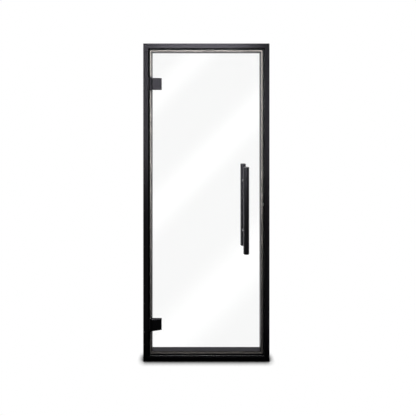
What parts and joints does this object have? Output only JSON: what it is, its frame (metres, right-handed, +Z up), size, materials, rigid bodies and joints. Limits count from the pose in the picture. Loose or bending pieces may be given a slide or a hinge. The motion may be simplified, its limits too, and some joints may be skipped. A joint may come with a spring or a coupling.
{
  "type": "glass door",
  "caption": "Clear glass door in a black mitred metal frame, with clamp hinges, a grey bulb seal and a round bar handle on each face.",
  "frame": {"origin": "middle of the sill's underside, at half the frame's depth", "axes": "+X to the lock side, +Y into the doorway away from the side the leaf opens to, +Z up"},
  "size_m": [0.79, 0.165, 1.99],
  "materials": {
    "frame": "satin black powder coat",
    "cleat": "mill",
    "seal": "matt, light warm grey",
    "glass": "clear, polished",
    "hardware": "satin black",
    "gasket": "matt",
    "plastic": "matt",
    "steel": "brushed"
  },
  "bodies": {
    "frame": {"hinge_jamb": "frame", "lock_jamb": "frame", "head_rail": "frame", "sill_rail": "frame", "frame_seal": "seal", "cleat_hinge_side_low": "cleat", "cleat_hinge_side_high": "cleat", "cleat_lock_side_high": "cleat", "cleat_lock_side_low": "cleat", "hinge_block_lower": "hardware", "hinge_block_screws_lower": "steel", "hinge_pin_lower": "steel", "hinge_block_upper": "hardware", "hinge_block_screws_upper": "steel", "hinge_pin_upper": "steel", "catch_holder": "plastic", "catch_magnet": "steel"},
    "leaf": {"glass_pane": "glass", "catch_keeper": "steel", "hinge_cover_lower": "hardware", "hinge_back_plate_lower": "hardware", "hinge_front_gasket_lower": "gasket", "hinge_back_gasket_lower": "gasket", "hinge_clamp_screws_lower": "steel", "hinge_bushes_lower": "plastic", "hinge_glass_sleeves_lower": "plastic", "hinge_cover_upper": "hardware", "hinge_back_plate_upper": "hardware", "hinge_front_gasket_upper": "gasket", "hinge_back_gasket_upper": "gasket", "hinge_clamp_screws_upper": "steel", "hinge_bushes_upper": "plastic", "hinge_glass_sleeves_upper": "plastic", "handle_outer_bar": "hardware", "handle_outer_cap_low": "hardware", "handle_outer_cap_high": "hardware", "handle_outer_post_low": "hardware", "handle_outer_post_high": "hardware", "handle_outer_washers": "plastic", "handle_inner_bar": "hardware", "handle_inner_cap_low": "hardware", "handle_inner_cap_high": "hardware", "handle_inner_post_low": "hardware", "handle_inner_post_high": "hardware", "handle_inner_washers": "plastic", "handle_stud_low": "steel", "handle_stud_high": "steel", "handle_grub_screws": "steel", "handle_glass_sleeves": "plastic"}
  },
  "joints": [
    {"name": "door_swing", "type": "hinge", "parent": "frame", "child": "leaf", "pos_m": [-0.348, -0.037, 0], "axis": [0, 0, -1], "range_deg": [0, 170]}
  ]
}
